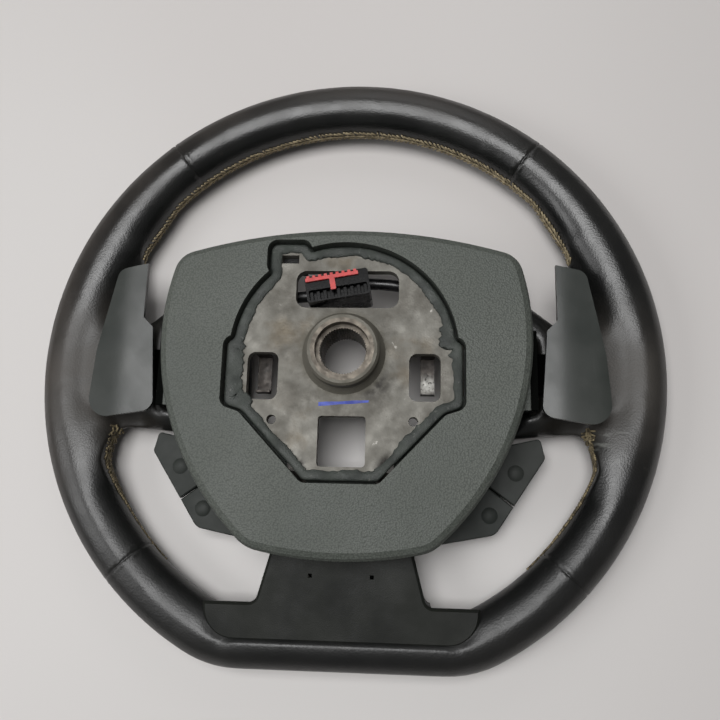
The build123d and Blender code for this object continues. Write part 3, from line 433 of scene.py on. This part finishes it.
FINISHES = {
    "cast_alloy": cast_alloy(),
    "hub_steel": finish_of("machined_steel", shade(70, 64, 56), shade(104, 97, 87), 0.006, (0.38, 0.55),
                           0.5 * MM, 0.1 * MM, metallic=0.5),
    "grey_foam": torn_foam(),
    "black_leather": worn_leather(),
    "grained_plastic": cover_grain(),
    # These two plastics are dark in their own colour, and are set darker still to paint the shade over the
    # lower part of the wheel.
    "smooth_plastic": finish_of("matt_plastic", shade(20, 22, 19), shade(28, 30, 26), 0.04, (0.5, 0.66),
                                0.6 * MM, 0.2 * MM, specular=0.25, cells=True),
    "satin_plastic": finish_of("satin_plastic", shade(39, 43, 40), shade(47, 50, 47), 0.03, (0.56, 0.68),
                               0.5 * MM, 0.08 * MM, strength=0.25, specular=0.35),
    "inner_plastic": finish_of("inner_plastic", shade(9, 9, 9), shade(15, 15, 15), 0.02, (0.5, 0.65),
                               0.8 * MM, 0.1 * MM, specular=0.2),
    "plug_black": finish_of("plug_black", shade(4, 4, 5), shade(9, 9, 10), 0.008, (0.2, 0.32),
                            1.2 * MM, 0.06 * MM, strength=0.3, specular=0.12),
    "lock_red": finish_of("lock_red", shade(176, 30, 28), shade(198, 44, 40), 0.006, (0.3, 0.45),
                          0.8 * MM, 0.05 * MM, strength=0.3),
    "loom_black": taped_loom(),
    "pin_steel": finish_of("ground_steel", shade(150, 150, 147), shade(180, 180, 176), 0.004, (0.22, 0.36),
                           0.3 * MM, 0.03 * MM, metallic=1.0),
    "switch_black": finish_of("switch_black", shade(18, 18, 19), shade(28, 28, 28), 0.006, (0.35, 0.5),
                              0.6 * MM, 0.05 * MM),
    "mat_rubber": finish_of("mat_rubber", shade(92, 92, 90), shade(112, 112, 110), 0.01, (0.6, 0.75),
                            0.9 * MM, 0.08 * MM),
    "board_green": finish_of("board_green", shade(24, 74, 44), shade(34, 92, 56), 0.006, (0.3, 0.42),
                             0.6 * MM, 0.04 * MM),
    "spring_steel": shaded_spring_with_painted_light(),
}
PADDLE = paddle_satin()
THREAD = finish_of("tan_thread", shade(112, 101, 78), shade(172, 158, 128), 0.003, (0.7, 0.85),
                   0.4 * MM, 0.1 * MM)
SOILED_THREAD = finish_of("soiled_thread", shade(70, 62, 46), shade(140, 127, 98), 0.003, (0.7, 0.85),
                          0.4 * MM, 0.1 * MM)
MARKER = finish_of("blue_marker", shade(44, 60, 150), shade(70, 88, 186), 0.006, (0.5, 0.65),
                   0.8 * MM, 0.02 * MM)

for row in frame["record"]["subparts"]:
    wear(NODES[row["node"]], FINISHES[row["material_slot"]])
for side, _ in SIDES:
    wear(NODES[f"{side}_paddle"], PADDLE)


# Camera and cords

def camera():
    """Stands where the picture was taken from, over the hub and a little towards the flat bottom."""
    data = bpy.data.cameras.new("camera")
    data.lens = 36
    data.sensor_width = 36
    data.clip_start = 0.01
    made = bpy.data.objects.new("camera", data)
    made.location = (34.71 * MM, -89.14 * MM, 380.98 * MM)
    made.rotation_euler = [math.radians(v) for v in (12.323, 3.387, 1.463)]
    bpy.context.scene.collection.objects.link(made)
    bpy.context.scene.camera = made


def loom(side, sign, start):
    """A taped bundle of wires from the plug, behind the hub plate, into the key housing."""
    route = [start, (48, start[1], -28), (62, 16, -36), (62, -34, -54), (80, -75, -61.8)]
    curve = bpy.data.curves.new(f"{side}_wire_loom", "CURVE")
    curve.dimensions = "3D"
    line = curve.splines.new("NURBS")
    line.points.add(len(route) - 1)
    for point, (x, y, z) in zip(line.points, route):
        point.co = (sign * x * MM, y * MM, z * MM, 1)
    line.order_u = 3
    line.use_endpoint_u = True
    line.resolution_u = 16
    curve.bevel_depth = 3.5 * MM
    curve.bevel_resolution = 5
    curve.use_fill_caps = True
    piece = bpy.data.objects.new(f"{side}_wire_loom", curve)
    bpy.context.scene.collection.objects.link(piece)
    wear(piece, FINISHES["loom_black"])
    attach(piece, "wheel")
    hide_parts(f"{side}_loom")


camera()
loom("right", 1, (12, 46.0, -28))
loom("left", -1, (20, 38.0, -28))


# Leather

SEAMS_DEG = (50.8, 129.2, -43.2, 223.2)

# The middle line of the rim with its flat bottom, in millimetres
MIDDLE_R = 173.75
SECTION_R = 16.25
FLAT_Y = -159.25
CORNER_X, CORNER_Y, CORNER_R = 58.13, -109.25, 50
CORNER_END_DEG = -62


def outward(degrees):
    """The direction out from the hub at that bearing, counted from three o'clock."""
    return Vector((math.cos(math.radians(degrees)), math.sin(math.radians(degrees)), 0))


def sew_seam(piece, degrees):
    """Draws the leather in along one seam and lets it swell a little on both sides."""
    out = outward(degrees)
    across = Vector((-out.y, out.x, 0))
    inside, beside, touch = 0.12, 8 * MM, 0.06 * MM
    for offset in (-2.2, -0.7, 0, 0.7, 2.2):
        pick_faces(piece, lambda c, n: c.dot(out) > inside and abs(c.dot(across)) < beside)
        bpy.ops.mesh.bisect(plane_co=across * offset * MM, plane_no=across)
    for offset, move in ((-2.2, 0.15), (0, -1.0), (2.2, 0.15)):
        pick_points(piece, lambda c: c.dot(out) > inside and abs(c.dot(across) - offset * MM) < touch)
        bpy.ops.transform.shrink_fatten(value=move * MM)


def ease(value, low, high):
    """0 below the span, 1 above it and a soft step between."""
    part = max(0, min(1, (value - low) / (high - low)))
    return part * part * (3 - 2 * part)


def surface_of(piece):
    """A piece's faces, ready for finding places on them."""
    mesh = bmesh.new()
    mesh.from_mesh(piece.data)
    tree = BVHTree.FromBMesh(mesh)
    mesh.free()
    return tree


def rim_offset(x, y):
    """How far a place lies inside the middle line of the rim, in millimetres, flat bottom included."""
    x = abs(x)
    if y < CORNER_Y and x < CORNER_X:
        return y - FLAT_Y
    if y < CORNER_Y and math.atan2(y - CORNER_Y, x - CORNER_X) < math.radians(CORNER_END_DEG):
        return CORNER_R - math.hypot(x - CORNER_X, y - CORNER_Y)
    return MIDDLE_R - math.hypot(x, y)


def section_top(offset, reach):
    """Height of the rear side over the rim's middle line, for a section that reaches that far in."""
    half = reach if offset > 0 else SECTION_R
    return RIM_Z + SECTION_R * math.sqrt(max(0, 1 - (offset / half) ** 2))


def reach_in(skin, bearing):
    """How far the leather reaches in from the rim's middle line at that bearing, in millimetres."""
    aim = outward(bearing)
    hit = skin.ray_cast(Vector((0, 0, RIM_LEVEL)) + aim * 60 * MM, aim)[0]
    return MIDDLE_R - math.hypot(hit.x, hit.y) / MM


def press_palms(piece):
    """Rounds the palm rests into the rim above and below the paddles."""
    lowest, highest, spread = -50, 60, 6
    widest, upper_reach, lower_reach = 32, 21, 27
    skin = surface_of(piece)
    found = {degrees: min(widest, reach_in(skin, degrees))
             for degrees in range(lowest - spread, highest + spread + 1)}
    reaches = {degrees: sum(found[degrees + k] for k in range(-spread, spread + 1)) / (2 * spread + 1)
               for degrees in range(lowest, highest + 1)}
    edit(piece)
    mesh = bmesh.from_edit_mesh(piece.data)
    for vertex in mesh.verts:
        x, y, z = vertex.co / MM
        if z < RIM_Z:
            continue
        offset = rim_offset(x, y)
        bearing = math.degrees(math.atan2(y, abs(x)))
        if offset > 0 and lowest < bearing < highest:
            low = math.floor(bearing)
            reach = reaches[low] + (reaches[low + 1] - reaches[low]) * (bearing - low)
            top = section_top(offset, min(reach, upper_reach if bearing > 0 else lower_reach))
            share = (ease(bearing, 4, 14) + ease(-bearing, 6, 18)) * ease(-offset, -56, -40)
            z += share * (top - z)
        vertex.co.z = z * MM
    bmesh.update_edit_mesh(piece.data)
    leave()


def fill_bottom(piece):
    """Brings the flat bottom back to its full round height beside the lower cover's edge."""
    high_y, outer, inner = -140, -14, 1.4
    edit(piece)
    mesh = bmesh.from_edit_mesh(piece.data)
    for vertex in mesh.verts:
        x, y, z = vertex.co / MM
        offset = rim_offset(x, y)
        if y < high_y and z > RIM_Z and outer < offset < inner:
            share = ease(-offset, -inner, -0.6) * ease(-abs(x), -72, -58)
            vertex.co.z = (z + share * max(0, section_top(offset, SECTION_R) - z)) * MM
    bmesh.update_edit_mesh(piece.data)
    leave()


def leather_sleeve():
    """The sewn leather round the rim and both palm rests."""
    piece = copy_of("leather_rim", "leather_sleeve")
    modify(piece, "REMESH", mode="VOXEL", voxel_size=2.0 * MM)
    modify(piece, "SMOOTH", factor=0.5, iterations=10)
    press_palms(piece)
    modify(piece, "SMOOTH", factor=0.5, iterations=10)
    fill_bottom(piece)
    modify(piece, "SMOOTH", factor=0.5, iterations=1)
    edit(piece)
    bpy.ops.mesh.select_all(action="SELECT")
    bpy.ops.transform.shrink_fatten(value=0.55 * MM)
    for degrees in SEAMS_DEG:
        sew_seam(piece, degrees)
    leave()
    smooth(piece)
    wear(piece, FINISHES["black_leather"])
    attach(piece, "wheel")
    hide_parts("leather_rim")
    return piece


# Stitches

STITCH_LENGTH = 4 * MM
LONGEST_STITCH = 5 * MM
TANGLE_WIDTH = 5 * MM
STRAY_SEED = 7

# The edge of the leather below the right palm rest, from the paddle down to the seam, in millimetres
LOWER_EDGE = ((137, -42, -46.5), (141, -44, -46.5), (144.5, -50, -46.5), (145.5, -58, -47), (143.5, -66, -48),
              (139.5, -75, -49), (133.5, -85, -51), (126, -96, -53), (116, -108, -54), (104, -120, -54))


def run_along(skin, origin, targets, pitch):
    """Places on the leather at an even pitch, where rays from the origin to the targets meet it."""
    found = []
    for start, end in zip(targets, targets[1:]):
        steps = max(2, int((Vector(end) - Vector(start)).length / (0.4 * MM)))
        for step in range(steps):
            aim = Vector(start).lerp(Vector(end), step / steps) - Vector(origin)
            hit, normal = skin.ray_cast(Vector(origin), aim.normalized())[:2]
            if hit is not None:
                found.append((hit, normal))
    stations = [found[0]]
    for here in found:
        if (here[0] - stations[-1][0]).length >= pitch:
            stations.append(here)
    return stations


def one_stitch():
    """One short stitch of thick thread with its edges taken off."""
    bpy.ops.mesh.primitive_cube_add(size=1)
    piece = bpy.context.active_object
    piece.scale = (STITCH_LENGTH, 1.1 * MM, 1.0 * MM)
    bpy.ops.object.transform_apply(scale=True)
    edit(piece)
    bpy.ops.mesh.select_all(action="SELECT")
    bpy.ops.mesh.bevel(offset=0.3 * MM, segments=1)
    leave()
    return piece


def lay_stitch(pattern, skin, near, ahead, sideways, slant, stretch):
    """A copy of the stitch laid on the leather at the place nearest to the point given."""
    here, normal = skin.find_nearest(near)[:2]
    along = (ahead * slant + sideways).normalized()
    lift = normal.cross(along).normalized()
    stitch = bpy.data.objects.new("stitch", pattern.data.copy())
    bpy.context.scene.collection.objects.link(stitch)
    turn = Matrix((along * stretch, lift, along.cross(lift))).transposed().to_4x4()
    stitch.data.transform(Matrix.Translation(here + normal * 0.3 * MM) @ turn)
    return stitch


def rows_across(loose, tangled):
    """Where the rows of stitches lie across the seam, from -1 to 1."""
    if tangled:
        return (-1, -0.4, 0.4, 1)
    return (-1, 1) if loose else (-1, 0.1, 1)


def braid(name, skin, runs, pattern, thread):
    """Uneven rows of slanted stitches that cross over the seam, in a tangle where it is loose and wide."""
    copies = []
    for stations, width_at, loose in runs:
        for index in range(1, len(stations) - 1):
            here, normal = stations[index]
            ahead = (stations[index + 1][0] - stations[index - 1][0]).normalized()
            across = normal.cross(ahead).normalized()
            width = width_at(index)
            stretch = min(1.2 * width, LONGEST_STITCH) / STITCH_LENGTH
            tangled = loose and width > TANGLE_WIDTH
            for row in rows_across(loose, tangled):
                stray = noise.noise_vector(here * 700 + Vector((0, 0, row)))
                near = here + across * row * width * (0.42 + 0.12 * stray.x) + ahead * stray.y * 0.7 * MM
                slant = 0.55 + 2.4 * stray.z if tangled else 0.95 + 1.1 * stray.z
                copies.append(lay_stitch(pattern, skin, near, ahead, across * row, slant, stretch))
    bpy.ops.object.select_all(action="DESELECT")
    for stitch in copies:
        stitch.select_set(True)
    bpy.context.view_layer.objects.active = copies[0]
    bpy.ops.object.join()
    piece = settle(copies[0], name)
    edit(piece)
    bpy.ops.mesh.select_all(action="SELECT")
    bpy.ops.mesh.normals_make_consistent(inside=False)
    leave()
    smooth(piece)
    wear(piece, thread)
    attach(piece, "wheel")


def upper_width(index):
    """How wide the upper stitching is, swelling and thinning along its run."""
    return (6.2 + 0.7 * math.sin(0.21 * index)) * MM


def stitching(leather):
    """The braided stitches along the inner edge of the rim, above and below the palm rests."""
    noise.seed_set(STRAY_SEED)
    skin = surface_of(leather)
    pattern = one_stitch()
    arc = []
    for bearing in range(26, 155, 2):
        out = outward(bearing)
        fall = (1.2 if out.x > 0 else 2.3) * out.x - 1.2
        arc.append(out * 165 * MM + Vector((0, 0, RIM_LEVEL + fall * MM)))
    upper = run_along(skin, (0, 0, RIM_LEVEL), arc, 2.4 * MM)
    braid("upper_stitching", skin, [(upper, upper_width, False)], pattern, THREAD)
    lower = []
    for sign, drop, widest in ((1, 0, 7.4), (-1, 3, 11)):
        targets = [(sign * x * MM, y * MM, (z - drop) * MM) for x, y, z in LOWER_EDGE]
        stations = run_along(skin, (sign * 122 * MM, -62 * MM, -44 * MM), targets, 1.5 * MM)
        lower.append((stations, lambda index, widest=widest: max(1.8, widest - 0.3 * index) * MM, True))
    braid("lower_stitching", skin, lower, pattern, SOILED_THREAD)
    bpy.data.objects.remove(pattern)


# Foam round the hub plate

def ragged(angle, seed):
    """An uneven number from 0 to 1 that changes along an edge."""
    around = Vector((math.cos(angle), math.sin(angle), 0))
    coarse = noise.noise(around * 6 + Vector((0, 0, seed)))
    fine = noise.noise(around * 26 + Vector((0, 0, seed + 5)))
    return max(0, min(1, 0.45 + 0.75 * coarse + 0.45 * fine))


def flash_width(x, y):
    """How far the torn foam reaches over the plate at that place, in millimetres."""
    angle = math.atan2(y, x)
    width = 0.2 + 2.0 * ragged(angle, 1.0)
    if x < -50 and -31 < y < 6:
        width += min(5.0, 5.5 * ragged(2 * angle, 9.0) + 1.5)
    if x > 50 and -2 < y < 16:
        width += 4.5 * ragged(2 * angle, 4.0)
    return width


def hub_foam_edge():
    """The moulded foam round the plate's edge, with a torn lip that lies on the plate."""
    piece = copy_of("hub_foam", "torn_foam_edge")
    modify(piece, "REMESH", mode="VOXEL", voxel_size=0.9 * MM)
    modify(piece, "SMOOTH", factor=0.5, iterations=3)
    skin = surface_of(piece)
    edit(piece)
    mesh = bmesh.from_edit_mesh(piece.data)
    moves = []
    for vertex in mesh.verts:
        flat = Vector((vertex.normal.x, vertex.normal.y, 0))
        if vertex.co.z < (PLATE_Z - 0.3) * MM or flat.length < 0.35:
            continue
        flat.normalize()
        beside = Vector((vertex.co.x, vertex.co.y, (PLATE_Z - 2.5) * MM)) + flat * 1.5 * MM
        if skin.ray_cast(beside, flat)[0] is None:
            continue
        width = flash_width(vertex.co.x / MM, vertex.co.y / MM) * MM
        level = max((PLATE_Z + 0.1) * MM, min(vertex.co.z, (PLATE_Z + 0.9) * MM))
        moves.append((vertex, Vector((flat.x * width, flat.y * width, level - vertex.co.z))))
    for vertex, move in moves:
        vertex.co += move
    bmesh.update_edit_mesh(piece.data)
    leave()
    modify(piece, "SMOOTH", factor=0.5, iterations=2)
    smooth(piece)
    wear(piece, FINISHES["grey_foam"])
    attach(piece, "wheel")
    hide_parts("hub_foam")


def marker_stroke():
    """A hand-drawn blue line on the plate under the boss."""
    bpy.ops.mesh.primitive_plane_add(size=1)
    piece = bpy.context.active_object
    edit(piece)
    bpy.ops.mesh.select_all(action="SELECT")
    bpy.ops.mesh.subdivide(number_cuts=13)
    mesh = bmesh.from_edit_mesh(piece.data)
    for vertex in mesh.verts:
        part = vertex.co.x + 0.5
        width = 2.1 - 0.7 * part + 0.25 * math.sin(11 * part)
        x = -13.2 + 27.8 * part
        y = -29.0 + 1.9 * part + vertex.co.y * width
        vertex.co = Vector((x, y, PLATE_Z + 0.05)) * MM
    bmesh.update_edit_mesh(piece.data)
    bpy.ops.mesh.select_all(action="SELECT")
    bpy.ops.mesh.normals_make_consistent(inside=False)
    leave()
    modify(piece, "SOLIDIFY", thickness=0.04 * MM, offset=1.0)
    settle(piece, "marker_stroke")
    wear(piece, MARKER)
    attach(piece, "wheel")


# Column plug

def plug_ribs():
    """The ribbed shroud inside the column plug's mouth."""
    width, depth, columns = 32.6 * MM, 5.6 * MM, 17
    plug_x, plug_y, plug_turn_deg = -4.0, 37.5, 10
    bpy.ops.mesh.primitive_grid_add(x_subdivisions=columns, y_subdivisions=1, size=1)
    piece = bpy.context.active_object
    piece.scale = (width, depth, 1)
    bpy.ops.object.transform_apply(scale=True)
    edit(piece)
    column = width / columns
    pick_faces(piece, lambda c, n: round((c.x + width / 2) / column - 0.5) % 2 == 0)
    bpy.ops.mesh.extrude_region_move(TRANSFORM_OT_translate={"value": (0, 0, 2.2 * MM)})
    leave()
    modify(piece, "SOLIDIFY", thickness=0.6 * MM, offset=-1.0)
    modify(piece, "BEVEL", width=0.12 * MM, segments=1, limit_method="ANGLE")
    piece.rotation_euler = (0, 0, math.radians(plug_turn_deg))
    piece.location = Vector((plug_x + 0.65, plug_y - 3.68, -8.4)) * MM
    settle(piece, "plug_ribs")
    smooth(piece, 30)
    wear(piece, FINISHES["plug_black"])
    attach(piece, "wheel")


# Key bumps

def dome_pattern():
    """A low round dome for a fingertip to find: the cap of a larger ball, its seat at the origin."""
    ball, rise = 8.43 * MM, 1.5 * MM
    middle = (0, 0, rise - ball)
    bpy.ops.mesh.primitive_uv_sphere_add(segments=20, ring_count=30, radius=ball, location=middle)
    piece = bpy.context.active_object
    bpy.ops.object.transform_apply(location=True)
    edit(piece)
    bpy.ops.mesh.select_all(action="SELECT")
    bpy.ops.mesh.bisect(plane_co=(0, 0, 0), plane_no=(0, 0, 1), clear_inner=True, use_fill=True)
    pick_faces(piece, lambda c, n: n.z < -0.9)
    bpy.ops.mesh.extrude_region_move(TRANSFORM_OT_translate={"value": (0, 0, -0.15 * MM)})
    leave()
    return piece


def key_bumps():
    """The dome on each finger key."""
    pattern = dome_pattern()
    for key, x, y in (("upper", 99.8, -62.4), ("lower", 84.3, -87.0)):
        for side, sign in SIDES:
            piece = bpy.data.objects.new(f"{side}_{key}_key_bump", pattern.data.copy())
            bpy.context.scene.collection.objects.link(piece)
            piece.data.transform(Matrix.Translation(Vector((sign * x, y, KEY_Z)) * MM))
            smooth(piece, 30)
            wear(piece, FINISHES["satin_plastic"])
            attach(piece, f"{side}_{key}_key")
    bpy.data.objects.remove(pattern)


# Screws

def screw_pattern():
    """A low round screw head with a bevelled edge and a round socket, its seat at the origin."""
    radius, height = 3.4 * MM, 1.8 * MM
    bpy.ops.mesh.primitive_cylinder_add(vertices=24, radius=radius, depth=height, location=(0, 0, height / 2))
    piece = bpy.context.active_object
    bpy.ops.object.transform_apply(location=True)
    edit(piece)
    pick_faces(piece, lambda c, n: n.z > 0.9)
    bpy.ops.mesh.inset(thickness=0.5 * MM, depth=0.45 * MM)
    bpy.ops.mesh.inset(thickness=1.1 * MM)
    bpy.ops.mesh.extrude_region_move(TRANSFORM_OT_translate={"value": (0, 0, -1.2 * MM)})
    bpy.ops.transform.resize(value=(0.85, 0.85, 1), center_override=(0, 0, 0))
    leave()
    return piece


def screws():
    """The screws that hold the springs, housings, brackets and rear cover."""
    pattern = screw_pattern()
    seats = [("spring_screw", 47.5, 6.5, -19.2, -1),
             ("housing_screw", 90, -16, -59, -1),
             ("cover_screw", 24, -97.5, -56, -1),
             ("bracket_lower_screw", 97, -19, -45, 1),
             ("bracket_upper_screw", 97, 3, -45, 1)]
    for name, x, y, z, facing in seats:
        for side, sign in SIDES:
            piece = bpy.data.objects.new(f"{side}_{name}", pattern.data.copy())
            bpy.context.scene.collection.objects.link(piece)
            turn = Matrix.Rotation(0 if facing > 0 else math.pi, 4, "X")
            piece.data.transform(Matrix.Translation(Vector((sign * x, y, z)) * MM) @ turn)
            smooth(piece, 35)
            wear(piece, FINISHES["pin_steel"])
            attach(piece, "wheel")
    bpy.data.objects.remove(pattern)


leather = leather_sleeve()
stitching(leather)
hub_foam_edge()
marker_stroke()
plug_ribs()
key_bumps()
screws()


# Table and light

def table():
    """The plain table that the wheel lies on."""
    bpy.ops.mesh.primitive_plane_add(size=6, location=(0, 0, TABLE_LEVEL - 0.2 * MM))
    floor = settle(bpy.context.active_object, "table_top")
    wear(floor, pale_table())


def softbox(name, where, aim, width, depth, power):
    """A flat light that faces the point aimed at."""
    data = bpy.data.lights.new(name, "AREA")
    data.shape = "RECTANGLE"
    data.size = width
    data.size_y = depth
    data.energy = power
    made = bpy.data.objects.new(name, data)
    made.location = where
    made.rotation_euler = (Vector(aim) - Vector(where)).to_track_quat("-Z", "Y").to_euler()
    bpy.context.scene.collection.objects.link(made)


def studio():
    """A wide softbox overhead, weaker ones behind and on the left, and a dim even room."""
    world = bpy.data.worlds.new("room")
    world.use_nodes = True
    bpy.context.scene.world = world
    sky = world.node_tree.nodes["Background"]
    sky.inputs["Color"].default_value = (1, 0.99, 0.98, 1)
    sky.inputs["Strength"].default_value = 0.13
    softbox("overhead", (-0.2, 0.1, 1.5), (-0.2, 0.1, 0), 0.9, 0.8, 18)
    softbox("back", (0.1, 1.5, 0.95), (0, 0, -0.05), 0.9, 0.9, 3)
    softbox("window", (-1.5, -0.4, 1.2), (0, 0, -0.05), 0.8, 0.8, 9)


table()
studio()
